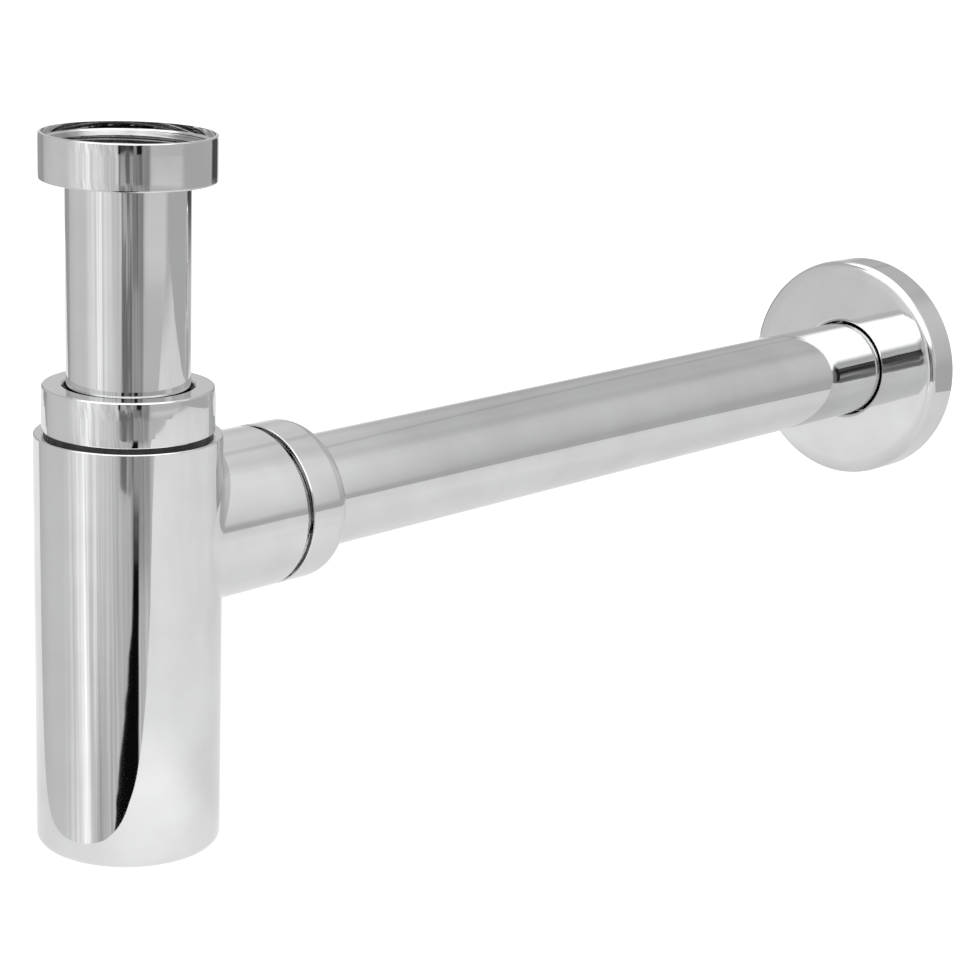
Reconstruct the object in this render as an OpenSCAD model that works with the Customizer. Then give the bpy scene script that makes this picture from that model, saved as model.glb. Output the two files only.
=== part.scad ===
// Round bottle trap for a wash basin, 1 1/4 inch class.
// Origin: centre of the upper end of the inlet nut's thread. +Z up, outlet along +X.

/* [Tubes] */
// Outside diameter of the inlet and outlet tubes
tube_d = 32; // [31.8:0.1:32.2]
// Wall of both tubes
tube_wall = 1.2; // [0.9:0.1:1.5]
// How deep the inlet tube's foot hangs below the inlet nut's mouth
dip_depth = 169; // [159:1:173]
// Length of the outlet tube
outlet_tube_len = 335; // [335:5:420]
// Where the outlet tube's inner end stands, from the bottle's axis
outlet_tube_start = 28; // [27:0.5:32]
// How far the outlet tube's free end goes into the wall's socket, up to a scored line
spigot_l = 20; // [15:1:24]

/* [Coupling thread] */
// Major diameter of the 1 1/4 inch parallel pipe thread
thread_d = 41.91; // [41.91]
// Pitch of the thread, 11 turns to the inch
thread_pitch = 2.309; // [2.309]
// Turns that each compression nut takes on its neck
thread_turns = 2.75; // [2.5:0.25:2.75]

/* [Inlet nut] */
// Outside diameter of the inlet nut
inlet_nut_d = 45.2; // [44.8:0.1:47]
// Height of the inlet nut
inlet_nut_h = 11.9; // [11.5:0.1:14]
// Depth of the plain relief at the nut's mouth
mouth_relief = 1.8; // [1.2:0.1:2]

/* [Bottle] */
// Outside diameter of the bottle
bottle_d = 48.9; // [48.6:0.1:52]
// Height of the bottle from its base to its shoulder
bottle_h = 111.8; // [111:0.1:120]
// Depth of the bottle's shoulder below the inlet nut's mouth
shoulder_depth = 76.9; // [76:0.1:78]
// Wall of the bottle
bottle_wall = 2; // [1.6:0.1:2.2]
// Radius of the bottle's lower edge
bottle_edge_r = 2; // [1.5:0.1:4]
// Height of the outlet's axis above the bottle's base
outlet_h = 84.2; // [84:0.1:87]

/* [Compression nuts] */
// Outside diameter of the bottle nut
bottle_nut_d = 44.8; // [44.6:0.1:47]
// Height of the bottle nut
bottle_nut_h = 11.8; // [11.5:0.1:12.5]
// Outside diameter of the branch and of the outlet nut
branch_d = 44.3; // [44.2:0.1:46]
// Where the branch's shoulder ends, from the bottle's axis
branch_end = 44.4; // [44:0.1:48]
// Width of the open groove between the branch's shoulder and the outlet nut
outlet_groove = 2; // [1:0.1:2.4]
// Length of the outlet nut
outlet_nut_l = 14.9; // [14.6:0.1:17]
// Radius of the outlet nut's domed end
dome_r = 5; // [4:0.1:5.4]
// Gap round the tube in each compression nut's end
nut_gap = 0.9; // [0.5:0.1:1]

/* [Wall flange] */
// Outside diameter of the wall flange
flange_d = 74.8; // [68:0.2:80]
// Depth of the wall flange
flange_t = 12.8; // [10:0.1:14]
// Where the flange's front face stands, from the bottle's axis
flange_x = 328.2; // [150:0.1:330]
// Radius of the flange's front edge
flange_edge_r = 2.4; // [1:0.1:2.6]

/* [Hidden] */
$fn = 96;

chrome = [0.86, 0.87, 0.88];
black = [0.06, 0.06, 0.065];
grey = [0.32, 0.33, 0.34];
dark = [0.16, 0.16, 0.165];

tube_r = tube_d / 2;
thread_r = thread_d / 2;
run = 0.05;                        // running clearance of turned fits
neck_r = thread_r - run;           // outside of the bottle's two necks
nut_bore = thread_r;               // inside of the three nuts
bore_r = tube_r + 0.9;             // way through the necks for the tubes
chamfer_r = 18.7;                  // mouth of the necks' chamfer for the seals, inside the thread's root
loose_r = thread_r - 1.655;        // rings and seals pass the nuts' thread crests, which stand 1.48 inside the bore

// inlet nut, from the mouth down
inlet_r = inlet_nut_d / 2;
floor_t = 1.8;
lead_in = 0.4;                     // bevel at the thread's upper end
mouth_z = mouth_relief + lead_in;  // rim of the nut's mouth; the thread ends at height 0
floor_z = mouth_z - inlet_nut_h + floor_t; // top of the nut's floor
ring_t = 0.5;                      // friction ring
flange_rim_t = 1;                  // turned-out rim of the tube
washer_t = 1.8;
rim_top = floor_z + ring_t + flange_rim_t;
washer_top = rim_top + washer_t;
rim_r = loose_r - 0.1;             // turned-out rim of the inlet tube
foot_z = mouth_z - dip_depth;

// bottle, nut and neck
bottle_r = bottle_d / 2;
shoulder_z = mouth_z - shoulder_depth;
base_z = shoulder_z - bottle_h;
gasket_t = 0.9;
slip_t = 0.8;                      // slip rings
slip_gap = 0.02;                   // play over each slip ring
seal_back = 2.5;                   // seal's back, between the neck's end and the slip ring
bottle_neck = gasket_t + thread_turns * thread_pitch;
nut_bottom = shoulder_z + gasket_t;
nut_top = nut_bottom + bottle_nut_h;
cap_in = shoulder_z + bottle_neck + seal_back + slip_t; // underside of the bottle nut's end wall

// outlet
outlet_z = base_z + outlet_h;
branch_r = branch_d / 2;
outlet_nut_x = branch_end + outlet_groove;
outlet_nut_end = outlet_nut_x + outlet_nut_l;
outlet_neck = outlet_groove + thread_turns * thread_pitch;
outlet_cap_in = branch_end + outlet_neck + seal_back + slip_t; // inner face of the outlet nut's end wall

// plain turned ring between two heights
module ring(r_in, r_out, z0, z1) {
    translate([0, 0, z0])
        difference() {
            cylinder(r = r_out, h = z1 - z0);
            translate([0, 0, -1]) cylinder(r = r_in, h = z1 - z0 + 2);
        }
}

// outline of a plain round turned blank, with rounded outer edges e0 (low) and e1 (high)
module blank_2d(r, z0, z1, e0, e1) {
    union() {
        polygon([[0, z0], [r - e0, z0], [r, z0 + e0], [r, z1 - e1], [r - e1, z1], [0, z1]]);
        translate([r - e0, z0 + e0]) circle(r = e0);
        translate([r - e1, z1 - e1]) circle(r = e1);
    }
}

// the same blank with its side crowned over the last h0 and h1 before its ends, to radius c, as polishing leaves it
module crowned_2d(r, z0, z1, e0, e1, h0, h1, c) {
    // middle of each edge's rounding, which runs on from the crown into the end face
    p0 = [r - c + sqrt(pow(c - e0, 2) - pow(h0 - e0, 2)), z0 + e0];
    p1 = [r - c + sqrt(pow(c - e1, 2) - pow(h1 - e1, 2)), z1 - e1];
    d0 = (p0 - [r - c, z0 + h0]) / (c - e0);
    d1 = (p1 - [r - c, z1 - h1]) / (c - e1);
    difference() {
        intersection() {
            translate([0, z0]) square([r, z1 - z0]);
            union() {
                translate([r - c, z0 + h0]) circle(r = c);
                translate([0, z0 + h0]) square([r, z1 - z0]);
            }
            union() {
                translate([r - c, z1 - h1]) circle(r = c);
                translate([0, z0 - 1]) square([r, z1 - h1 - z0 + 1]);
            }
        }
        polygon([p0, p0 + 3 * d0, [r + 4, z0 - 2], [p0[0], z0 - 2]]);
        polygon([p1, [p1[0], z1 + 2], [r + 4, z1 + 2], p1 + 3 * d1]);
    }
    translate(p0) circle(r = e0);
    translate(p1) circle(r = e1);
}

// what comes off the edge of a hole of radius r at height z to round it by e; up is 1 at an upper face, -1 at a lower one
module hole_round_2d(r, z, e, up) {
    difference() {
        translate([0, up > 0 ? z - e : z - 1]) square([r + e, e + 1]);
        translate([r + e, z - up * e]) circle(r = e);
    }
}

// tapered seal: square back against the slip ring, cone into the neck's chamfer
module cone_seal(z_back, z_neck) {
    // z_back is the seal's back face, z_neck the neck's end; both above the tip
    rotate_extrude()
        polygon([[tube_r + run, z_neck - 3.2], [bore_r - 0.15, z_neck - 3.2], [bore_r - 0.15, z_neck - 2.9],
                 [chamfer_r - 0.2, z_neck - 0.05], [loose_r - 0.2, z_neck + 0.25], [loose_r - 0.2, z_back],
                 [tube_r + run, z_back]]);
}

// lays a part that is turned about Z along the outlet's axis, its +Z towards the wall
module along_outlet() {
    translate([0, 0, outlet_z]) rotate([0, 90, 0]) children();
}

// ---- inlet ----

module inlet_nut() color(chrome) {
    difference() {
        rotate_extrude() crowned_2d(inlet_r, mouth_z - inlet_nut_h, mouth_z, 0.5, 0.35, 2.5, 3, 45);
        // relief at the mouth
        translate([0, 0, lead_in]) cylinder(r = inlet_r - 0.85, h = mouth_relief + 1);
        // lead-in to the thread
        cylinder(r1 = thread_r, r2 = thread_r + lead_in, h = lead_in + 0.001);
        // thread bore
        translate([0, 0, washer_top]) cylinder(r = thread_r, h = -washer_top);
        // thread runout groove round the washer and the tube's rim
        translate([0, 0, floor_z]) cylinder(r = thread_r + 0.35, h = washer_top - floor_z);
        // hole in the floor for the tube
        translate([0, 0, mouth_z - inlet_nut_h - 1]) cylinder(r = tube_r + 0.35, h = inlet_nut_h);
        translate([0, 0, mouth_z - inlet_nut_h - 0.001]) cylinder(r1 = tube_r + 0.75, r2 = tube_r + 0.35, h = 0.4);
    }
}

module inlet_washer() color(black) ring(tube_r - 0.9, loose_r, rim_top, washer_top);

module inlet_nut_ring() color(dark) ring(tube_r + 0.3, loose_r, floor_z, floor_z + ring_t);

module inlet_tube() color(chrome) {
    rotate_extrude()
        polygon([[tube_r - tube_wall, foot_z], [tube_r, foot_z],
                 [tube_r, rim_top - flange_rim_t], [rim_r, rim_top - flange_rim_t],
                 [rim_r, rim_top], [tube_r - tube_wall + 0.8, rim_top],
                 [tube_r - tube_wall, rim_top - 0.8]]);
}

// ---- bottle head ----

module bottle_nut() color(chrome) {
    difference() {
        rotate_extrude() crowned_2d(bottle_nut_d / 2, nut_bottom, nut_top, 0.35, 0.5, 2.5, 4.5, 45);
        translate([0, 0, nut_bottom - 1]) cylinder(r = nut_bore, h = cap_in - nut_bottom + 1);
        translate([0, 0, nut_bottom - 1]) cylinder(r = tube_r + nut_gap, h = bottle_nut_h + 2);
        // eased edge of the hole round the tube
        translate([0, 0, nut_top - 0.4]) cylinder(r1 = tube_r + nut_gap, r2 = tube_r + nut_gap + 0.41, h = 0.41);
    }
}

module bottle_slip_ring() color(dark)
    ring(tube_r + 0.4, loose_r, cap_in - slip_t, cap_in - slip_gap);

module bottle_seal() color(grey)
    cone_seal(cap_in - slip_t - slip_gap, shoulder_z + bottle_neck);

module bottle_gasket() color(black) ring(neck_r + 0.02, bottle_nut_d / 2 - 0.55, shoulder_z, nut_bottom);

module bottle() color(chrome) {
    difference() {
        union() {
            // body with a rounded lower edge
            rotate_extrude() blank_2d(bottle_r, base_z, shoulder_z, bottle_edge_r, 0.35);
            // neck under the bottle nut
            translate([0, 0, shoulder_z - 1]) cylinder(r = neck_r, h = bottle_neck + 1);
            // side branch and its neck
            along_outlet() rotate_extrude() blank_2d(branch_r, 0, branch_end, 0.3, 0.35);
            along_outlet() translate([0, 0, branch_end - 1]) cylinder(r = neck_r, h = outlet_neck + 1);
        }
        // inside of the bottle
        rotate_extrude() blank_2d(bottle_r - bottle_wall, base_z + 3, shoulder_z - 3, 2, 1.5);
        // way through the neck, with the seal's chamfer
        translate([0, 0, shoulder_z - 4]) cylinder(r = bore_r, h = bottle_neck + 5);
        translate([0, 0, shoulder_z + bottle_neck - 2.9]) cylinder(r1 = bore_r, r2 = chamfer_r, h = 2.9);
        translate([0, 0, shoulder_z + bottle_neck - 0.001]) cylinder(r = chamfer_r, h = 1);
        // way through the branch, with the seal's chamfer
        along_outlet() translate([0, 0, 12]) cylinder(r = bore_r, h = branch_end + outlet_neck);
        along_outlet() translate([0, 0, branch_end + outlet_neck - 2.9]) cylinder(r1 = bore_r, r2 = chamfer_r, h = 2.9);
        along_outlet() translate([0, 0, branch_end + outlet_neck - 0.001]) cylinder(r = chamfer_r, h = 1);
    }
}

// ---- outlet ----

module outlet_nut() color(chrome) along_outlet() {
    difference() {
        rotate_extrude() blank_2d(branch_r, outlet_nut_x, outlet_nut_end, 0.35, dome_r);
        translate([0, 0, outlet_nut_x - 1]) cylinder(r = nut_bore, h = outlet_cap_in - outlet_nut_x + 1);
        translate([0, 0, outlet_nut_x - 1]) cylinder(r = tube_r + 0.5, h = outlet_nut_l + 2);
        // the dome runs on into the hole
        rotate_extrude() hole_round_2d(tube_r + 0.5, outlet_nut_end, 0.6, 1);
    }
}

module outlet_slip_ring() color(dark) along_outlet()
    ring(tube_r + 0.4, loose_r, outlet_cap_in - slip_t, outlet_cap_in - slip_gap);

module outlet_seal() color(grey) along_outlet()
    cone_seal(outlet_cap_in - slip_t - slip_gap, branch_end + outlet_neck);

// straight tube with eased ends; a shallow scored line marks how far its free end goes into the wall's socket
module outlet_tube() color(chrome) along_outlet()
    rotate_extrude()
        translate([tube_r - tube_wall, outlet_tube_start])
            polygon([[0.3, 0], [tube_wall - 0.3, 0], [tube_wall, 0.3],
                     [tube_wall, outlet_tube_len - spigot_l - 0.8],
                     [tube_wall - 0.25, outlet_tube_len - spigot_l - 0.4],
                     [tube_wall, outlet_tube_len - spigot_l], [tube_wall, outlet_tube_len - 0.3],
                     [tube_wall - 0.3, outlet_tube_len], [0.3, outlet_tube_len],
                     [0, outlet_tube_len - 0.3], [0, 0.3]]);

// ---- wall flange ----

flange_wall = 1.4;
collar_r = 20.5;
grip_mid = 5.4;                    // grip ring's middle, behind the face
grip_t = 2.2;

face_t = 2.2;                      // wall behind the face
face_flat_r = flange_d / 2 - 4.6;  // flat middle of the face
face_crown_r = 30;                 // crown of the face outside it
hole_edge_r = 1.2;                 // rounding of the face into the hole

// outline of the flange: flat middle, crowned outer face, and a front edge that runs on from the crown
module flange_2d() {
    r = flange_d / 2;
    e = flange_edge_r;
    p = [r - e, face_crown_r - sqrt(pow(face_crown_r - e, 2) - pow(r - e - face_flat_r, 2))];
    d = (p - [face_flat_r, face_crown_r]) / (face_crown_r - e);
    difference() {
        intersection() {
            square([r, flange_t]);
            union() {
                square([face_flat_r, flange_t]);
                translate([face_flat_r, face_crown_r]) circle(r = face_crown_r);
            }
        }
        polygon([p, p + 6 * d, [r + 4, p[1] - 7], [r + 4, p[1]]]);
    }
    translate(p) circle(r = e);
}

module wall_flange() color(chrome) along_outlet() translate([0, 0, flange_x]) {
    difference() {
        rotate_extrude() flange_2d();
        // hollow behind the face, round the collar
        translate([0, 0, face_t])
            ring(collar_r, flange_d / 2 - flange_wall, 0, flange_t);
        // collar stands back from the wall
        translate([0, 0, flange_t - 1.5]) cylinder(r = flange_d / 2 - flange_wall, h = 3);
        // hole for the tube and groove for the grip ring
        translate([0, 0, -1]) cylinder(r = tube_r + 0.35, h = flange_t + 2);
        rotate_extrude() hole_round_2d(tube_r + 0.35, 0, hole_edge_r, -1);
        translate([0, 0, grip_mid - grip_t / 2 - 0.05]) cylinder(r = 18.2, h = grip_t + 0.1);
    }
}

module flange_grip_ring() color(black) along_outlet() translate([0, 0, flange_x + grip_mid])
    rotate_extrude() translate([tube_r + run + 1.05, 0]) circle(r = 1.05);

inlet_nut();
inlet_washer();
inlet_nut_ring();
inlet_tube();
bottle_nut();
bottle_slip_ring();
bottle_seal();
bottle_gasket();
bottle();
outlet_nut();
outlet_slip_ring();
outlet_seal();
outlet_tube();
wall_flange();
flange_grip_ring();
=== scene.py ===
import math

import bpy
import numpy as np
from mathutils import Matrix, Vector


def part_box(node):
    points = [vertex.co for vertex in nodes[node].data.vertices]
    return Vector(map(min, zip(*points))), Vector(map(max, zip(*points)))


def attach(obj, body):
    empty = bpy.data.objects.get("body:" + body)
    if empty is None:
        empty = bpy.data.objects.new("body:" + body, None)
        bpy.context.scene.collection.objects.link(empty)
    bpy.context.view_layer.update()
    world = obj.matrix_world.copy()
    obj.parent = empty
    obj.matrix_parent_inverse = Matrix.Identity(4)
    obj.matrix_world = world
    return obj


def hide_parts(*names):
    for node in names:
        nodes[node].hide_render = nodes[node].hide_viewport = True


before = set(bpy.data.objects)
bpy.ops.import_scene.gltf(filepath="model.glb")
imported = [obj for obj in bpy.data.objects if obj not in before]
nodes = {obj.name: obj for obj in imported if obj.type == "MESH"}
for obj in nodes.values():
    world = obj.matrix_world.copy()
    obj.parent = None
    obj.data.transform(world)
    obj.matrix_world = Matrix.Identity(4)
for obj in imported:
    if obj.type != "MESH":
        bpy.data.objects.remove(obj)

bpy.context.view_layer.update()
scene = bpy.context.scene
MM = 0.001

# ------------------------------------------------------------------ sizes, in metres
PITCH = 2.309 * MM              # 1 1/4 inch parallel pipe thread, 55 degrees
DEPTH = 0.640327 * PITCH        # thread depth
R_BORE = 20.955 * MM            # root of the nuts' threads
R_NECK = 20.905 * MM            # crest of the necks' threads
OUT_Z = (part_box("outlet_tube")[0].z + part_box("outlet_tube")[1].z) / 2   # height of the outlet's axis
BASE_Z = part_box("bottle")[0].z

# a part turned about Z, and the same laid along the outlet, its +Z towards the wall
UPRIGHT = (np.eye(3), np.zeros(3))
OUTLET = (np.array([[0.0, 0, 1], [0, 1, 0], [-1, 0, 0]]), np.array([0, 0, OUT_Z]))


# ------------------------------------------------------------------ meshes
def arrays(me):
    """Points, faces, corner normals and face materials of a mesh."""
    pts = np.zeros(len(me.vertices) * 3, np.float32)
    me.vertices.foreach_get("co", pts)
    nor = np.zeros(len(me.loops) * 3, np.float32)
    me.corner_normals.foreach_get("vector", nor)
    faces = [tuple(p.vertices) for p in me.polygons]
    return pts.reshape(-1, 3).astype(float), faces, nor.reshape(-1, 3).astype(float), [0] * len(faces)


def joined(*parts):
    """Several shells as one."""
    P, F, N, M = [], [], [], []
    at = 0
    for p, f, n, m in parts:
        P.append(p)
        F += [tuple(i + at for i in face) for face in f]
        N.append(n)
        M += list(m)
        at += len(p)
    return np.vstack(P), F, np.vstack(N), M


def build(name, data, materials):
    """A mesh object with exact corner normals."""
    pts, faces, nor, mats = data
    me = bpy.data.meshes.new(name)
    me.from_pydata([tuple(p) for p in pts], [], faces)
    me.update()
    me.polygons.foreach_set("use_smooth", [True] * len(faces))
    for m in materials:
        me.materials.append(m)
    me.polygons.foreach_set("material_index", list(mats))
    me.normals_split_custom_set([tuple(n) for n in nor])
    me.update()
    ob = bpy.data.objects.new(name, me)
    scene.collection.objects.link(ob)
    return ob


def thread(r_wall, inward, z0, z1, lay, phase=0.0, mat=1, lead0=1.0, lead1=1.0, steps=144):
    """One closed helical ridge of the 55 degree form on a wall of radius r_wall, between heights z0 and z1.
    lead0 and lead1 are the slopes of the bevels that end it."""
    # outline across one pitch: root arc, flank, crest arc, flank, root arc
    rr = 0.137329 * PITCH
    th = math.radians(62.5)
    prof = []
    for i in range(4):
        a = th * i / 4
        prof.append((-PITCH / 2 + rr * math.sin(a), rr * (1 - math.cos(a))))
    lo = (-PITCH / 2 + rr * math.sin(th), rr * (1 - math.cos(th)))
    hi = (-rr * math.sin(th), DEPTH - rr * (1 - math.cos(th)))
    for i in range(5):
        t = i / 4
        prof.append((lo[0] + (hi[0] - lo[0]) * t, lo[1] + (hi[1] - lo[1]) * t))
    for i in range(1, 6):
        a = -th + th * i / 5
        prof.append((rr * math.sin(a), DEPTH - rr * (1 - math.cos(a))))
    left = list(prof)
    prof += [(-a, h) for a, h in reversed(left[:-1])]
    under = 0.06 * MM
    ring = [(-PITCH / 2, -under)] + prof + [(PITCH / 2, -under)]
    ring = np.array(ring)
    turns = (z1 - z0) / PITCH + 1
    n = int(round(turns * steps))
    s = np.linspace(0, turns, n + 1)
    ang = 2 * math.pi * s
    # the ridge's middle line; the thread starts at the same place on a nut and on its neck, half a pitch apart
    start = z0 - PITCH / 2
    ang0 = 2 * math.pi * ((start - phase) / PITCH)
    mid = start + PITCH * s
    Z = mid[:, None] + ring[None, :, 0]
    Hh = np.repeat(ring[None, :, 1], n + 1, 0)
    Hh = np.minimum(Hh, (z1 - Z) * lead1)
    Hh = np.minimum(Hh, (Z - z0) * lead0)
    Hh = np.maximum(Hh, -0.04 * MM)
    Hh[:, 0] = Hh[:, -1] = -under
    Z = np.clip(Z, z0 + 0.002 * MM, z1 - 0.002 * MM)
    R = r_wall - Hh if inward else r_wall + Hh
    A = ang0 + ang
    X = R * np.cos(A)[:, None]
    Y = R * np.sin(A)[:, None]
    P = np.stack([X, Y, Z], 2).reshape(-1, 3)
    k = len(ring)
    faces = []
    for i in range(n):
        for j in range(k):
            a, b = i * k + j, i * k + (j + 1) % k
            c, d = (i + 1) * k + (j + 1) % k, (i + 1) * k + j
            faces.append((a, b, c, d) if inward else (a, d, c, b))
    end0, end1 = tuple(range(k)), tuple(n * k + j for j in range(k))
    faces += [end0[::-1], end1] if inward else [end0, end1[::-1]]
    # points that fall together where the ridge runs out are one point, and faces without area are left out
    _, first, same = np.unique(np.round(P * 1e8).astype(np.int64), axis=0, return_index=True, return_inverse=True)
    P, same = P[first], same.reshape(-1)
    whole = []
    for f in faces:
        g = [int(same[i]) for i in f]
        g = [g[j] for j in range(len(g)) if g[j] != g[j - 1]]
        if len(g) > 2 and len(set(g)) == len(g):
            whole.append(tuple(g))
    me = bpy.data.meshes.new("ridge")
    Rm, off = lay
    me.from_pydata([tuple(Rm @ p + off) for p in P], [], whole)
    me.update()
    me.polygons.foreach_set("use_smooth", [True] * len(whole))
    me.set_sharp_from_angle(angle=math.radians(40))
    out = arrays(me)
    bpy.data.meshes.remove(me)
    return out[0], out[1], out[2], [mat] * len(out[1])


def local(pts, lay):
    Rm, off = lay
    return (pts - off) @ Rm


def rethreaded(data, lay, z_low, z_high, r_old, r_new, r_seat, mat=1):
    """Takes the plain wall of a neck away and gives it a core of radius r_new, with its steps closed."""
    pts, faces, nor, mats = data
    loc = local(pts, lay)
    rad = np.hypot(loc[:, 0], loc[:, 1])
    eps = 0.02 * MM
    on_wall = (abs(rad - r_old) < eps) & (loc[:, 2] > z_low - eps) & (loc[:, 2] < z_high + eps)
    on_end = (abs(loc[:, 2] - z_high) < eps) & (rad > r_seat - eps) & (rad < r_old + eps)
    keep_f, keep_n, keep_m = [], [], []
    at = 0
    low_edges, seat_edges = {}, {}
    used_low, used_seat = set(), set()
    for f, m in zip(faces, mats):
        idx = range(at, at + len(f))
        at += len(f)
        if all(on_wall[i] for i in f) or all(on_end[i] for i in f):
            for i in f:
                if abs(loc[i, 2] - z_low) < eps and on_wall[i]:
                    used_low.add(i)
                if on_end[i] and abs(rad[i] - r_seat) < eps:
                    used_seat.add(i)
            continue
        keep_f.append(f)
        keep_n += [nor[i] for i in idx]
        keep_m.append(m)
    P = list(pts)
    Rm, off = lay

    def ring_at(ids, r, z):
        """New points at radius r and height z at the angles of ids."""
        out = []
        for i in ids:
            a = math.atan2(loc[i, 1], loc[i, 0])
            out.append(len(P))
            P.append(Rm @ np.array([r * math.cos(a), r * math.sin(a), z]) + off)
        return out

    def unique(ids):
        """One point for each angle, in order round the axis."""
        best = {}
        for i in ids:
            best.setdefault(round(math.atan2(loc[i, 1], loc[i, 0]), 4), i)
        a = sorted(best)
        if len(a) > 1 and abs(a[0] + math.pi) < 2e-4 and abs(a[-1] - math.pi) < 2e-4:
            a = a[:-1]
        return [best[x] for x in a]

    def band(lower, upper, normal):
        """Quads between two rings of equal count. normal gives (radial, axial) parts."""
        n = len(lower)
        for j in range(n):
            a, b, c, d = lower[j], lower[(j + 1) % n], upper[(j + 1) % n], upper[j]
            keep_f.append((a, b, c, d))
            for v in (a, b, c, d):
                q = local(np.array(P[v]), lay)
                ang = math.atan2(q[1], q[0])
                keep_n.append(Rm @ np.array([normal[0] * math.cos(ang), normal[0] * math.sin(ang), normal[1]]))
            keep_m.append(mat)

    low = unique(used_low)
    core_low = ring_at(low, r_new, z_low)
    core_high = ring_at(low, r_new, z_high)
    band(low, core_low, (0, 1))
    band(core_low, core_high, (1, 0))
    seat = unique(used_seat)
    if len(seat) == len(low):
        band(core_high, seat, (0, 1))
    else:
        top = ring_at(seat, r_new, z_high)
        band(top, seat, (0, 1))
    return np.array(P), keep_f, np.array(keep_n), keep_m


# ------------------------------------------------------------------ materials
def new_material(name):
    m = bpy.data.materials.new(name)
    m.use_nodes = True
    nt = m.node_tree
    nt.nodes.clear()
    out = nt.nodes.new("ShaderNodeOutputMaterial")
    bsdf = nt.nodes.new("ShaderNodeBsdfPrincipled")
    nt.links.new(bsdf.outputs["BSDF"], out.inputs["Surface"])
    return m, nt, bsdf


def noise(nt, vec, scale, detail=3.0, rough=0.55):
    n = nt.nodes.new("ShaderNodeTexNoise")
    n.inputs["Scale"].default_value = scale
    n.inputs["Detail"].default_value = detail
    n.inputs["Roughness"].default_value = rough
    nt.links.new(vec, n.inputs["Vector"])
    return n.outputs["Fac"]


def ramp(nt, fac, stops):
    r = nt.nodes.new("ShaderNodeValToRGB")
    while len(r.color_ramp.elements) < len(stops):
        r.color_ramp.elements.new(0.5)
    for e, (p, c) in zip(r.color_ramp.elements, stops):
        e.position = p
        e.color = (*c, 1)
    nt.links.new(fac, r.inputs["Fac"])
    return r.outputs["Color"]


def spread(nt, fac, lo, hi, a=0.3, b=0.7):
    m = nt.nodes.new("ShaderNodeMapRange")
    m.inputs["From Min"].default_value = a
    m.inputs["From Max"].default_value = b
    m.inputs["To Min"].default_value = lo
    m.inputs["To Max"].default_value = hi
    nt.links.new(fac, m.inputs["Value"])
    return m.outputs["Result"]


def stretched(nt, scale):
    """Object coordinates, stretched."""
    t = nt.nodes.new("ShaderNodeTexCoord")
    m = nt.nodes.new("ShaderNodeMapping")
    m.inputs["Scale"].default_value = scale
    nt.links.new(t.outputs["Object"], m.inputs["Vector"])
    return m.outputs["Vector"]


def bumps(nt, bsdf, heights):
    """Chained bumps: (height, distance in metres, strength)."""
    last = None
    for h, dist, strength in heights:
        b = nt.nodes.new("ShaderNodeBump")
        b.inputs["Distance"].default_value = dist
        b.inputs["Strength"].default_value = strength
        nt.links.new(h, b.inputs["Height"])
        if last is not None:
            nt.links.new(last, b.inputs["Normal"])
        last = b.outputs["Normal"]
    nt.links.new(last, bsdf.inputs["Normal"])


def chrome(name, grain=(1, 1, 1), tint=(0.0, 0.0, 0.0), rough=(0.02, 0.05)):
    """Polished chrome plate. grain stretches its faint polishing marks."""
    m, nt, b = new_material(name)
    b.inputs["Metallic"].default_value = 1.0
    even = stretched(nt, (1, 1, 1))
    along = stretched(nt, grain)
    dark = tuple(0.70 + t for t in tint)
    light = tuple(c + d for c, d in zip((0.755, 0.76, 0.765), tint))
    nt.links.new(ramp(nt, noise(nt, even, 60, 4), [(0.3, dark), (0.7, light)]), b.inputs["Base Color"])
    nt.links.new(spread(nt, noise(nt, along, 420, 4), *rough), b.inputs["Roughness"])
    bumps(nt, b, [(noise(nt, even, 48, 1.5), 0.00006, 1.0), (noise(nt, along, 650, 3), 0.00001, 0.12)])
    return m


def machined(name, colour_a, colour_b, rough):
    """Turned and thinly plated metal of threads and hidden insides."""
    m, nt, b = new_material(name)
    b.inputs["Metallic"].default_value = 1.0
    even = stretched(nt, (1, 1, 1))
    nt.links.new(ramp(nt, noise(nt, even, 160, 5), [(0.3, colour_a), (0.7, colour_b)]), b.inputs["Base Color"])
    nt.links.new(spread(nt, noise(nt, even, 700, 4), *rough), b.inputs["Roughness"])
    bumps(nt, b, [(noise(nt, even, 900, 3), 0.00003, 0.25)])
    return m


def moulded(name, colour_a, colour_b, rough, dist, specular=0.5):
    """Rubber and plastic: mould texture and faint mottling."""
    m, nt, b = new_material(name)
    b.inputs["Specular IOR Level"].default_value = specular
    even = stretched(nt, (1, 1, 1))
    nt.links.new(ramp(nt, noise(nt, even, 240, 5), [(0.3, colour_a), (0.72, colour_b)]), b.inputs["Base Color"])
    nt.links.new(spread(nt, noise(nt, even, 500, 3), *rough), b.inputs["Roughness"])
    bumps(nt, b, [(noise(nt, even, 1500, 4, 0.6), dist, 0.5)])
    return m


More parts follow.
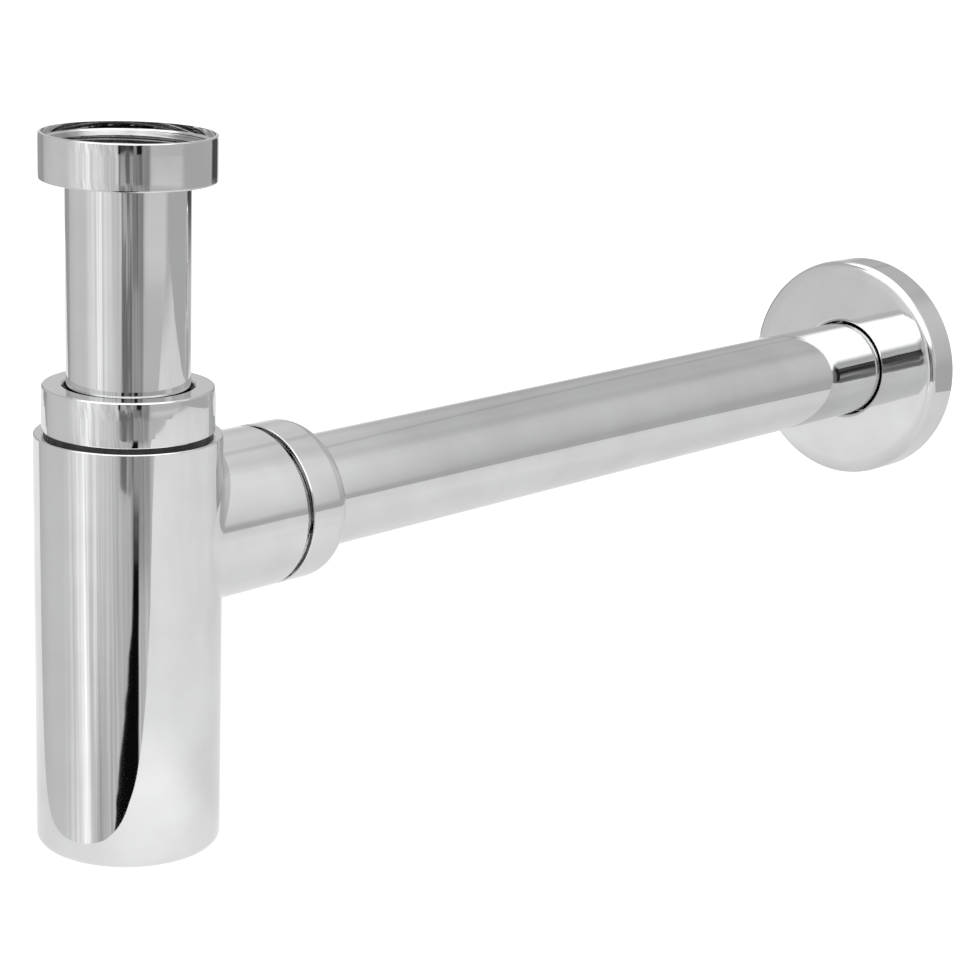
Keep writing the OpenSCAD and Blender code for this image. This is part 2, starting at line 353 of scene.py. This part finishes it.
def inside_out(name, base, axis_z, r_in):
    """Chrome outside radius r_in and a dull plated bore inside it. base is not used.
    axis_z is None for the upright tube, or the height of the level tube's axis."""
    m, nt, b = new_material(name)
    b.inputs["Metallic"].default_value = 1.0
    tc = nt.nodes.new("ShaderNodeTexCoord").outputs["Object"]
    off = nt.nodes.new("ShaderNodeVectorMath")
    off.operation = "SUBTRACT"
    off.inputs[1].default_value = (0, 0, 0 if axis_z is None else axis_z)
    nt.links.new(tc, off.inputs[0])
    flat = nt.nodes.new("ShaderNodeVectorMath")
    flat.operation = "MULTIPLY"
    flat.inputs[1].default_value = (1, 1, 0) if axis_z is None else (0, 1, 1)
    nt.links.new(off.outputs[0], flat.inputs[0])
    ln = nt.nodes.new("ShaderNodeVectorMath")
    ln.operation = "LENGTH"
    nt.links.new(flat.outputs[0], ln.inputs[0])
    mask = spread(nt, ln.outputs["Value"], 1.0, 0.0, r_in - 0.0001, r_in + 0.0001)
    even = stretched(nt, (1, 1, 1))
    along = stretched(nt, (1, 1, 0.03) if axis_z is None else (0.03, 1, 1))
    out_c = ramp(nt, noise(nt, even, 60, 4), [(0.3, (0.70, 0.70, 0.70)), (0.7, (0.755, 0.76, 0.765))])
    in_c = ramp(nt, noise(nt, even, 130, 5), [(0.3, (0.42, 0.39, 0.32)), (0.7, (0.55, 0.52, 0.45))])
    mix = nt.nodes.new("ShaderNodeMix")
    mix.data_type = "RGBA"
    nt.links.new(mask, mix.inputs["Factor"])
    nt.links.new(out_c, mix.inputs["A"])
    nt.links.new(in_c, mix.inputs["B"])
    nt.links.new(mix.outputs["Result"], b.inputs["Base Color"])
    mr = nt.nodes.new("ShaderNodeMix")
    mr.data_type = "FLOAT"
    nt.links.new(mask, mr.inputs["Factor"])
    nt.links.new(spread(nt, noise(nt, along, 420, 4), 0.02, 0.05), mr.inputs["A"])
    nt.links.new(spread(nt, noise(nt, even, 600, 4), 0.28, 0.42), mr.inputs["B"])
    nt.links.new(mr.outputs["Result"], b.inputs["Roughness"])
    bumps(nt, b, [(noise(nt, even, 48, 1.5), 0.00006, 1.0), (noise(nt, along, 650, 3), 0.00001, 0.12)])
    return m


CHROME_Z = chrome("chrome_upright", grain=(1, 1, 0.05))
CHROME_X = chrome("chrome_level", grain=(0.05, 1, 1))
THREADS = machined("turned_thread", (0.36, 0.36, 0.36), (0.52, 0.52, 0.52), (0.07, 0.13))
INSIDE = machined("cast_inside", (0.30, 0.27, 0.20), (0.42, 0.39, 0.31), (0.32, 0.48))
TUBE_Z = inside_out("chrome_inlet_tube", None, None, 0.0152)
TUBE_X = inside_out("chrome_outlet_tube", None, OUT_Z, 0.0152)
BLACK = moulded("black_rubber", (0.004, 0.004, 0.0045), (0.026, 0.026, 0.027), (0.38, 0.58), 0.00007, 0.35)
SEAL = moulded("seal_rubber", (0.05, 0.05, 0.052), (0.085, 0.085, 0.088), (0.5, 0.7), 0.00004)
WASHER = moulded("washer_rubber", (0.02, 0.02, 0.022), (0.05, 0.05, 0.052), (0.5, 0.7), 0.00004)
SLIP = moulded("slip_plastic", (0.05, 0.05, 0.052), (0.10, 0.10, 0.104), (0.32, 0.46), 0.00002)

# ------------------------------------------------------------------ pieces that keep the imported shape
for name, mat in (("inlet_tube", TUBE_Z), ("outlet_tube", TUBE_X), ("wall_flange", CHROME_X),
                  ("inlet_washer", WASHER), ("bottle_gasket", BLACK), ("flange_grip_ring", BLACK),
                  ("bottle_seal", SEAL), ("outlet_seal", SEAL),
                  ("inlet_nut_ring", SLIP), ("bottle_slip_ring", SLIP), ("outlet_slip_ring", SLIP)):
    me = nodes[name].data
    for i in range(len(me.materials)):
        me.materials[i] = mat

# ------------------------------------------------------------------ threaded pieces
SHOULDER_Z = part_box("bottle_gasket")[0].z
NECK_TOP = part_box("bottle")[1].z
NUT_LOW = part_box("bottle_nut")[0].z
BRANCH_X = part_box("outlet_nut")[0].x - 2.0 * MM
NECK_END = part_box("bottle")[1].x
ONUT_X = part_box("outlet_nut")[0].x
BOTTLE_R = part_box("bottle")[1].y
BRANCH_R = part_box("outlet_nut")[1].y


def root_fillet(r1, r2, set0, set1, steps=240, k=13):
    """Blend between the upright body of radius r1 and the level branch of radius r2, as a closed ring. It is a rolling
    ball whose size gives a blend of half width set0 at the branch's top and bottom and set1 at its sides."""
    rows, norm = [], []
    for i in range(steps):
        a = 2 * math.pi * i / steps
        sa, ca = math.sin(a), math.cos(a)
        y = r2 * sa
        w0 = math.acos(y / r1 * sa)                       # angle between the two surfaces' normals at the sharp corner
        rho = (set0 + (set1 - set0) * sa * sa) / math.tan(w0 / 2)
        y, z = (r2 + rho) * sa, (r2 + rho) * ca
        c = np.array([math.sqrt((r1 + rho) ** 2 - y * y), y, OUT_Z + z])
        na = np.array([-c[0], -c[1], 0]) / (r1 + rho)
        nb = np.array([0, -sa, -ca])
        w = math.acos(max(-1, min(1, float(na @ nb))))
        mid = (na + nb) / np.linalg.norm(na + nb)
        ring, nrm = [c + (rho + 0.05 * MM) * na], [na]
        for j in range(k):
            t = j / (k - 1)
            d = (math.sin((1 - t) * w) * na + math.sin(t * w) * nb) / math.sin(w)
            ring.append(c + rho * d)
            nrm.append(-d)
        ring += [c + (rho + 0.05 * MM) * nb, c + (rho / math.cos(w / 2) + 0.3 * MM) * mid]
        nrm += [nb, mid]
        rows.append(ring)
        norm.append(nrm)
    m = k + 3
    P = np.array(rows).reshape(-1, 3)
    faces, nor = [], []
    flip = False
    for i in range(steps):
        for j in range(m):
            q = ((i, j), (i, (j + 1) % m), ((i + 1) % steps, (j + 1) % m), ((i + 1) % steps, j))
            f = [x * m + y for x, y in q]
            n = [norm[x][y] for x, y in q]
            g = np.cross(P[f[1]] - P[f[0]], P[f[2]] - P[f[0]])
            g /= max(np.linalg.norm(g), 1e-12)
            if not 1 <= j < k:
                n = [g] * 4
            if i == 0 and j == 4:
                flip = bool(g @ n[0] < 0)
            faces.append(f)
            nor.append(n)
    if flip:
        faces = [f[::-1] for f in faces]
        nor = [[-v for v in n] if not 1 <= (i % m) < k else n[::-1] for i, n in enumerate(nor)]
    return P, [tuple(f) for f in faces], np.array([v for n in nor for v in n]), [0] * len(faces)


def paint(data, lay, inside, mat):
    """Gives the faces whose points all lie inside(radius, height) the material number mat."""
    pts, faces, nor, mats = data
    loc = local(pts, lay)
    rad = np.hypot(loc[:, 0], loc[:, 1])
    ok = inside(rad, loc[:, 2])
    return pts, faces, nor, [mat if all(ok[i] for i in f) else m for f, m in zip(faces, mats)]


def with_thread(name, body, chrome_mat, ridges, data=None):
    d = data if data is not None else arrays(nodes[name].data)
    ob = build(name + "_threaded", joined(d, *ridges), [chrome_mat, THREADS, INSIDE])
    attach(ob, body)
    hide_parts(name)
    return ob


# inlet nut: thread from its lower groove up to the bevel at its mouth
with_thread("inlet_nut", "inlet_coupling", CHROME_Z,
            [thread(R_BORE, True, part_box("inlet_washer")[1].z + 0.02 * MM, 0.02 * MM, UPRIGHT, phase=0.9 * MM, lead0=2.0, lead1=1.4)],
            data=paint(arrays(nodes["inlet_nut"].data), UPRIGHT,
                       lambda r, z: (r < 21.4 * MM) & (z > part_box("inlet_nut")[0].z + 0.3 * MM) & (z < 0.01 * MM), 1))

# bottle: both necks cut with the same thread as their nuts, the inside left as cast
bottle = arrays(nodes["bottle"].data)
bottle = paint(bottle, UPRIGHT, lambda r, z: (r < 22.55 * MM) & (z > BASE_Z + 2.9 * MM) & (z < SHOULDER_Z - 2.9 * MM), 2)
bottle = paint(bottle, UPRIGHT, lambda r, z: (r < 18.8 * MM) & (z > SHOULDER_Z - 4.2 * MM), 2)
bottle = paint(bottle, OUTLET, lambda r, z: (r < 18.8 * MM) & (z > 11.0 * MM), 2)
bottle = rethreaded(bottle, UPRIGHT, SHOULDER_Z, NECK_TOP, R_NECK, R_NECK - DEPTH, 18.7 * MM)
bottle = rethreaded(bottle, OUTLET, BRANCH_X, NECK_END, R_NECK, R_NECK - DEPTH, 18.7 * MM)
with_thread("bottle", "bottle_body", CHROME_Z,
            [thread(R_NECK - DEPTH, False, SHOULDER_Z + 0.9 * MM, NECK_TOP, UPRIGHT, phase=SHOULDER_Z, lead0=1.2, lead1=1.0),
             thread(R_NECK - DEPTH, False, BRANCH_X + 0.8 * MM, NECK_END, OUTLET, phase=BRANCH_X, lead0=1.2, lead1=1.0),
             root_fillet(BOTTLE_R, BRANCH_R, 1.4 * MM, 3.1 * MM)],
            data=bottle)

with_thread("bottle_nut", "neck_nut", CHROME_Z,
            [thread(R_BORE, True, NUT_LOW + 0.3 * MM, NUT_LOW + 7.6 * MM, UPRIGHT, phase=SHOULDER_Z + PITCH / 2, lead0=1.2, lead1=1.4)],
            data=paint(arrays(nodes["bottle_nut"].data), UPRIGHT,
                       lambda r, z: (r < 20.98 * MM) & (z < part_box("bottle_nut")[1].z - 0.35 * MM), 1))
with_thread("outlet_nut", "branch_nut", CHROME_X,
            [thread(R_BORE, True, ONUT_X + 0.3 * MM, ONUT_X + 7.0 * MM, OUTLET, phase=BRANCH_X + PITCH / 2, lead0=1.2, lead1=1.4)],
            data=paint(arrays(nodes["outlet_nut"].data), OUTLET,
                       lambda r, z: (r < 20.98 * MM) & (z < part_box("outlet_nut")[1].x - 0.55 * MM), 1))

# ------------------------------------------------------------------ camera
AZ, PITCH_A, ROLL = math.radians(-48.062), math.radians(16.99), math.radians(2.139)
F_PX, TX, TY, DIST = 2589.3, 82.103, -28.228, 671.899
PPX, PPY, SIDE = 445.0, 585.0, 967.0
fwd = np.array([-math.sin(AZ) * math.cos(PITCH_A), math.cos(AZ) * math.cos(PITCH_A), -math.sin(PITCH_A)])
right = np.cross(fwd, [0, 0, 1])
right /= np.linalg.norm(right)
up = np.cross(right, fwd)
r2 = math.cos(ROLL) * right + math.sin(ROLL) * up
u2 = -math.sin(ROLL) * right + math.cos(ROLL) * up
eye = (np.array([0, 0, 100.0]) + TX * r2 + TY * u2 - DIST * fwd) * MM + np.array([0, 0, BASE_Z])
cam_data = bpy.data.cameras.new("camera")
cam_data.sensor_width = 36.0
cam_data.lens = 36.0 * F_PX / SIDE
cam_data.shift_x = (SIDE / 2 - PPX) / SIDE
cam_data.shift_y = (PPY - SIDE / 2) / SIDE
cam_data.clip_start, cam_data.clip_end = 0.01, 100.0
cam = bpy.data.objects.new("camera", cam_data)
from mathutils import Matrix
m4 = Matrix.Identity(4)
for i in range(3):
    m4[i][0], m4[i][1], m4[i][2], m4[i][3] = r2[i], u2[i], -fwd[i], eye[i]
cam.matrix_world = m4
scene.collection.objects.link(cam)
scene.camera = cam

# ------------------------------------------------------------------ studio
CAM_AZ = math.degrees(math.atan2(-fwd[1], -fwd[0]))   # azimuth of the camera, seen from the object


def emit(name, strength, rgb=(1, 1, 1)):
    m = bpy.data.materials.new(name)
    m.use_nodes = True
    nt = m.node_tree
    nt.nodes.clear()
    out = nt.nodes.new("ShaderNodeOutputMaterial")
    e = nt.nodes.new("ShaderNodeEmission")
    e.inputs["Color"].default_value = (*rgb, 1)
    e.inputs["Strength"].default_value = strength
    nt.links.new(e.outputs[0], out.inputs[0])
    return m


def sheet_mesh(name, points, mat):
    me = bpy.data.meshes.new(name)
    me.from_pydata([tuple(p) for p in points], [], [tuple(range(len(points)))])
    me.materials.append(mat)
    ob = bpy.data.objects.new(name, me)
    scene.collection.objects.link(ob)
    return ob


# pale floor, some way below the trap, which hangs by its mount
floor_m, fnt, fb = new_material("pale_floor")
fb.inputs["Base Color"].default_value = (0.93, 0.93, 0.93, 1)
fb.inputs["Roughness"].default_value = 0.9
fb.inputs["Specular IOR Level"].default_value = 0.1
fl = BASE_Z - 0.11
floor = sheet_mesh("floor", [(-9, -9, fl), (9, -9, fl), (9, 9, fl), (-9, 9, fl)], floor_m)
floor.visible_glossy = False

# glowing sheet under the trap that stands in for a lit white table top, which only its reflections show; it ends in
# front of the bottle. Its glow is painted with light and shade
tz = BASE_Z - 0.0003
table_m = emit("table_glow_painted_light", 1.0)
tn = table_m.node_tree
tco = tn.nodes.new("ShaderNodeTexCoord")
tsep = tn.nodes.new("ShaderNodeSeparateXYZ")
tn.links.new(tco.outputs["Object"], tsep.inputs[0])


def tmap(v, a, b, lo, hi):
    m = tn.nodes.new("ShaderNodeMapRange")
    m.interpolation_type = "SMOOTHSTEP"
    for k, x in (("From Min", a), ("From Max", b), ("To Min", lo), ("To Max", hi)):
        m.inputs[k].default_value = x
    tn.links.new(v, m.inputs["Value"])
    return m.outputs["Result"]


def tmul(a, b):
    m = tn.nodes.new("ShaderNodeMath")
    m.operation = "MULTIPLY"
    tn.links.new(a, m.inputs[0])
    tn.links.new(b, m.inputs[1])
    return m.outputs[0]


def tdist(x, y):
    """Distance on the table from the point (x, y)."""
    v = tn.nodes.new("ShaderNodeVectorMath")
    v.operation = "DISTANCE"
    v.inputs[1].default_value = (x, y, tz)
    tn.links.new(tco.outputs["Object"], v.inputs[0])
    return v.outputs["Value"]


tx, ty_ = tsep.outputs["X"], tsep.outputs["Y"]
# painted falloff of light: the glow dims along x, away from the bottle
lum = tmap(tx, -0.05, 0.62, 0.94, 0.80)
# painted shadow of the trap: the glow dims just in front of the trap's line, and a painted brighter band lies behind it
shade = tmul(tmap(ty_, -0.11, -0.02, 1.0, 0.91), tmap(ty_, 0.04, 0.13, 1.0, 1.12))
# the painted shadow of the trap applied, then painted shade: the glow dims towards the table's front edge
lum = tmul(tmul(lum, shade), tmap(ty_, -0.74, -0.50, 0.70, 1.0))
cloud = tn.nodes.new("ShaderNodeTexNoise")
cloud.inputs["Scale"].default_value = 9
tn.links.new(tco.outputs["Object"], cloud.inputs["Vector"])
lum = tmul(lum, tmap(cloud.outputs["Fac"], 0.3, 0.7, 0.975, 1.02))
# painted pool of light: the glow is brighter round a point just in front of the bottle's base
lum = tmul(lum, tmap(tdist(-0.022, -0.062), 0.02, 0.085, 1.24, 1.0))
tn.links.new(lum, [n for n in tn.nodes if n.type == "EMISSION"][0].inputs["Strength"])
table = sheet_mesh("table_top", [(-0.040, 0.46, tz), (-0.0365, 0.03, tz), (-0.039, -0.02, tz), (-0.0465, -0.055, tz), (-0.055, -0.125, tz),
                                 (-0.068, -0.24, tz), (-0.084, -0.36, tz), (-0.086, -0.44, tz), (-0.05, -0.485, tz),
                                 (0.105, -0.52, tz), (0.354, -0.72, tz), (0.577, -0.80, tz), (0.577, 0.9, tz),
                                 (0.30, 0.9, tz)], table_m)
table.visible_camera = False
table.visible_shadow = False

# dark, uneven screen beside the camera, seen in the tube's wall end and the flange
screen_m = emit("dark_screen", 1.0)
tn = screen_m.node_tree
sco = tn.nodes.new("ShaderNodeTexCoord")
ssep = tn.nodes.new("ShaderNodeSeparateXYZ")
tn.links.new(sco.outputs["Object"], ssep.inputs[0])
blot = tn.nodes.new("ShaderNodeTexNoise")
blot.inputs["Scale"].default_value = 13
blot.inputs["Detail"].default_value = 3
tn.links.new(sco.outputs["Object"], blot.inputs["Vector"])
lum = tmul(tmap(ssep.outputs["Z"], -0.13, -0.02, 0.34, 0.07), tmap(blot.outputs["Fac"], 0.40, 0.64, 0.55, 1.45))
tn.links.new(lum, [n for n in tn.nodes if n.type == "EMISSION"][0].inputs["Strength"])
screen = sheet_mesh("dark_screen", [(-0.565, -0.455, -0.27), (-0.40, -0.58, -0.27), (-0.40, -0.58, 0.10),
                                    (-0.565, -0.455, 0.09)], screen_m)
screen.visible_camera = screen.visible_shadow = screen.visible_diffuse = False

# the room, as the chrome sees it: soft boxes, a dark zone beside the camera, grey walls
world = bpy.data.worlds.new("studio")
scene.world = world
world.use_nodes = True
wn = world.node_tree
wn.nodes.clear()


def wmath(op, a, b=None, clamp=False):
    n = wn.nodes.new("ShaderNodeMath")
    n.operation = op
    n.use_clamp = clamp
    for i, v in enumerate((a, b)):
        if v is None:
            continue
        if isinstance(v, (int, float)):
            n.inputs[i].default_value = v
        else:
            wn.links.new(v, n.inputs[i])
    return n.outputs[0]


def wstep(v, at, soft):
    m = wn.nodes.new("ShaderNodeMapRange")
    m.interpolation_type = "SMOOTHSTEP"
    m.inputs["From Min"].default_value = at - soft
    m.inputs["From Max"].default_value = at + soft
    wn.links.new(v, m.inputs["Value"])
    return m.outputs["Result"]


def wmix(a, b, f):
    n = wn.nodes.new("ShaderNodeMix")
    n.data_type = "FLOAT"
    for k, v in (("A", a), ("B", b), ("Factor", f)):
        if isinstance(v, (int, float)):
            n.inputs[k].default_value = v
        else:
            wn.links.new(v, n.inputs[k])
    return n.outputs["Result"]


tc = wn.nodes.new("ShaderNodeTexCoord")
rot = wn.nodes.new("ShaderNodeVectorRotate")
rot.rotation_type = "Z_AXIS"
rot.inputs["Angle"].default_value = math.radians(-CAM_AZ)
wn.links.new(tc.outputs["Generated"], rot.inputs["Vector"])
sep = wn.nodes.new("ShaderNodeSeparateXYZ")
wn.links.new(rot.outputs[0], sep.inputs[0])
deg = 180 / math.pi
W_AZ = wmath("MULTIPLY", wmath("ARCTAN2", sep.outputs["Y"], sep.outputs["X"]), deg)   # 0 at the camera, + to its right
W_EL = wmath("MULTIPLY", wmath("ARCSINE", sep.outputs["Z"]), deg)


def box_mask(a0, a1, e0, e1, sa, se):
    f = wmath("MULTIPLY", wstep(W_AZ, a0, sa), wmath("SUBTRACT", 1.0, wstep(W_AZ, a1, sa)))
    if e0 is not None:
        f = wmath("MULTIPLY", f, wstep(W_EL, e0, se))
    if e1 is not None:
        f = wmath("MULTIPLY", f, wmath("SUBTRACT", 1.0, wstep(W_EL, e1, se)))
    return f


def wlerp(v, a, b, lo, hi):
    m = wn.nodes.new("ShaderNodeMapRange")
    m.interpolation_type = "SMOOTHSTEP"
    for k, x in (("From Min", a), ("From Max", b), ("To Min", lo), ("To Max", hi)):
        m.inputs[k].default_value = x
    wn.links.new(v, m.inputs["Value"])
    return m.outputs["Result"]


# angle round the outlet's axis (0 to the front, 90 up) and slant along it, for what the level pieces see
wsep = wn.nodes.new("ShaderNodeSeparateXYZ")
wn.links.new(tc.outputs["Generated"], wsep.inputs[0])
W_X, W_Z = wsep.outputs["X"], wsep.outputs["Z"]
W_ANG = wmath("MULTIPLY", wmath("ARCTAN2", W_Z, wmath("MULTIPLY", wsep.outputs["Y"], -1.0)), deg)
ceil = wn.nodes.new("ShaderNodeValToRGB")
stops = ((0, 0.53), (15, 0.61), (30, 0.655), (50, 0.69), (65, 0.67), (73, 0.60), (82, 0.55), (95, 0.585),
         (106, 0.565), (125, 0.56), (140, 0.57), (163, 0.47), (175, 0.56))
while len(ceil.color_ramp.elements) < len(stops):
    ceil.color_ramp.elements.new(0.5)
for e, (pos, lum) in zip(ceil.color_ramp.elements, stops):
    e.position = pos / 180
    e.color = (lum, lum, lum, 1)
wn.links.new(wmath("MULTIPLY", W_ANG, 1 / 180), ceil.inputs["Fac"])
upper = wmath("MULTIPLY", ceil.outputs["Color"], wlerp(W_X, 0.655, 0.74, 1.38, 1.0))
line = wmath("ABSOLUTE", wmath("SUBTRACT", W_ANG, wlerp(W_X, 0.62, 0.84, 102, 138)))
upper = wmath("MULTIPLY", upper, wlerp(line, 1.0, 6.0, 0.86, 1.0))

light = 0.55
for a0, a1, e0, e1, sa, se, lum in (
    (-118, -20, None, 30, 22, 8, 0.68),      # grey wall on the left
    (-66, -20, None, 40, 16, 8, 0.98),       # tall soft box on the left
    (-50, -43, None, 30, 3, 6, 1.08),        # its bright middle
    (-41, -37, None, 30, 2, 6, 0.80),
    (-33, -10, None, 30, 6, 6, 0.76),
    (-22, -6, -18, 20, 4, 3, 0.70),
    (-160, -128, -15, 12, 6, 3, 0.38),       # dark corner, back left
    (-200, -165, None, 20, 5, 4, 0.92),      # bright wall behind
    (166, 200, None, 20, 4, 4, 0.92),
    (-9, 60, None, -12, 3, 2, 0.60),
    (35, 80, -30, 14, 4, 3, 0.60),
    (36, 84, -10.6, -7.9, 6, 0.8, 0.74),
    (80, 136, -30, 6, 6, 3, 0.50),
    (139, 163, -9.6, 10, 3, 1, 0.08),
    (-4, 34, -13.5, 17, 2, 1.6, 0.33),       # dark zone beside the camera
    (-70, 75, 21, 70, 8, 4, 2.1),            # large soft box above the camera
    (11, 33, -16.9, -11, 3, 1.2, 0.37),
    (-34, -12, None, -19, 6, 3, 0.56),
    (-5, 5, -14, 17, 1.2, 2, 0.22),
    (16, 25, -10.5, 12, 2, 0.6, 0.22),
    (-6, -1, -6.3, 14, 1, 0.5, 0.012),
    (17.5, 24, -6.3, 14, 1, 0.5, 0.012),
    (8.5, 11.5, -12, 6, 1, 2, 0.48),
):
    light = wmix(light, lum, box_mask(a0, a1, e0, e1, sa, se))
light = wmix(light, upper, wmath("MULTIPLY", wstep(W_X, 0.5, 0.08), wstep(W_Z, 0.0, 0.05)))
light = wmix(light, 1.8, wstep(W_EL, 55, 6))

# black strip that stands by the table's front corner and leans to the left lower down
low = wmath("MAXIMUM", wmath("SUBTRACT", -14.0, W_EL), 0.0)
lean = wmath("ADD", W_AZ, wlerp(low, 2.6, 10.5, 0.0, 28.0))
strip = wmath("MULTIPLY", wstep(lean, 13.0, 1.2), wmath("SUBTRACT", 1.0, wstep(W_AZ, 20.0, 1.2)))
strip = wmath("MULTIPLY", strip, wmath("SUBTRACT", 1.0, wstep(W_EL, -15.6, 1.2)))
light = wmix(light, 0.004, strip)

# faint upright streaks, as of a curtain
streak = wn.nodes.new("ShaderNodeTexNoise")
streak.noise_dimensions = "2D"
streak.inputs["Scale"].default_value = 1.0
streak.inputs["Detail"].default_value = 4
grid = wn.nodes.new("ShaderNodeCombineXYZ")
wn.links.new(wmath("MULTIPLY", wmath("ADD", W_AZ, wmath("MULTIPLY", W_EL, 0.45)), 0.26), grid.inputs["X"])
wn.links.new(wmath("MULTIPLY", W_EL, 0.07), grid.inputs["Y"])
wn.links.new(grid.outputs[0], streak.inputs["Vector"])
amount = box_mask(-70, 36, None, 16, 10, 3)
wave = wmath("ADD", 1.0, wmath("MULTIPLY", wmath("MULTIPLY", wmath("SUBTRACT", streak.outputs["Fac"], 0.5), 1.1), amount))
light = wmath("MAXIMUM", wmath("MULTIPLY", light, wave), 0.004)

lp = wn.nodes.new("ShaderNodeLightPath")
glossy = wn.nodes.new("ShaderNodeBackground")
glossy.inputs["Color"].default_value = (1, 1, 1, 1)
wn.links.new(light, glossy.inputs["Strength"])
plain = wn.nodes.new("ShaderNodeBackground")
plain.inputs["Color"].default_value = (1, 1, 1, 1)
plain.inputs["Strength"].default_value = 1.3
both = wn.nodes.new("ShaderNodeMixShader")
wn.links.new(lp.outputs["Is Glossy Ray"], both.inputs[0])
wn.links.new(plain.outputs[0], both.inputs[1])
wn.links.new(glossy.outputs[0], both.inputs[2])
wo = wn.nodes.new("ShaderNodeOutputWorld")
wn.links.new(both.outputs[0], wo.inputs["Surface"])


def area(name, at, to, size, power):
    d = bpy.data.lights.new(name, "AREA")
    d.shape = "RECTANGLE"
    d.size, d.size_y = size
    d.energy = power
    o = bpy.data.objects.new(name, d)
    scene.collection.objects.link(o)
    from mathutils import Vector
    v = Vector(to) - Vector(at)
    o.location = at
    o.rotation_mode = "QUATERNION"
    o.rotation_quaternion = v.to_track_quat("-Z", "Y")
    o.visible_glossy = False
    return o


area("key_soft_box", (-0.9, -1.0, 1.1), (0.12, 0, -0.1), (1.2, 1.2), 10)
area("fill_soft_box", (1.2, -1.1, 0.8), (0.12, 0, -0.1), (1.2, 1.2), 6)

scene.view_settings.view_transform = "Standard"
scene.view_settings.look = "None"

bpy.context.view_layer.update()
